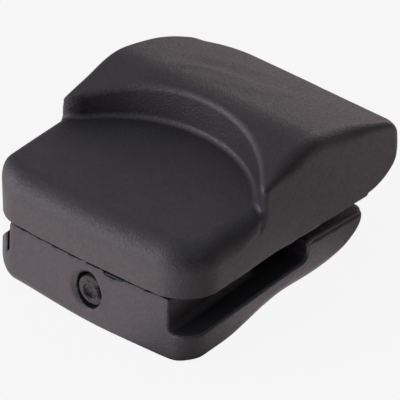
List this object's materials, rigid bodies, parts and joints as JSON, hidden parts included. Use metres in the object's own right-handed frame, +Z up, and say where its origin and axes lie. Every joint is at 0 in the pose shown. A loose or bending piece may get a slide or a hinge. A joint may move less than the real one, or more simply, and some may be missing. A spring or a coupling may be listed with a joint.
{
  "type": "violin mute",
  "caption": "Slide-on rubber string mute: wedge-shaped head with a half-round finger recess, slotted string carrier, flexible clamp jaw and a plug in the front hole.",
  "frame": {"origin": "centre of the bounding box in plan, at the height of the flat face under the carrier", "axes": "+Y from the front face with the hole to the rear nose, +Z up from the carrier's underside to the head, +X across the width"},
  "size_m": [0.0132, 0.0164, 0.0084],
  "materials": {
    "charcoal_rubber": "matt moulded rubber with a soft sheen",
    "plug_rubber": "matt and rough"
  },
  "bodies": {
    "mute_body": {"mute_head": "charcoal_rubber", "string_carrier": "charcoal_rubber", "front_plug": "plug_rubber"},
    "jaw": {"clamp_jaw": "charcoal_rubber"}
  },
  "joints": [
    {"name": "jaw_flex", "type": "hinge", "parent": "mute_body", "child": "jaw", "pos_m": [0, -0.00073, 0.00122], "axis": [-1, 0, 0], "range_deg": [-5, 12], "stiffness_Nm_per_rad": 0.003}
  ]
}
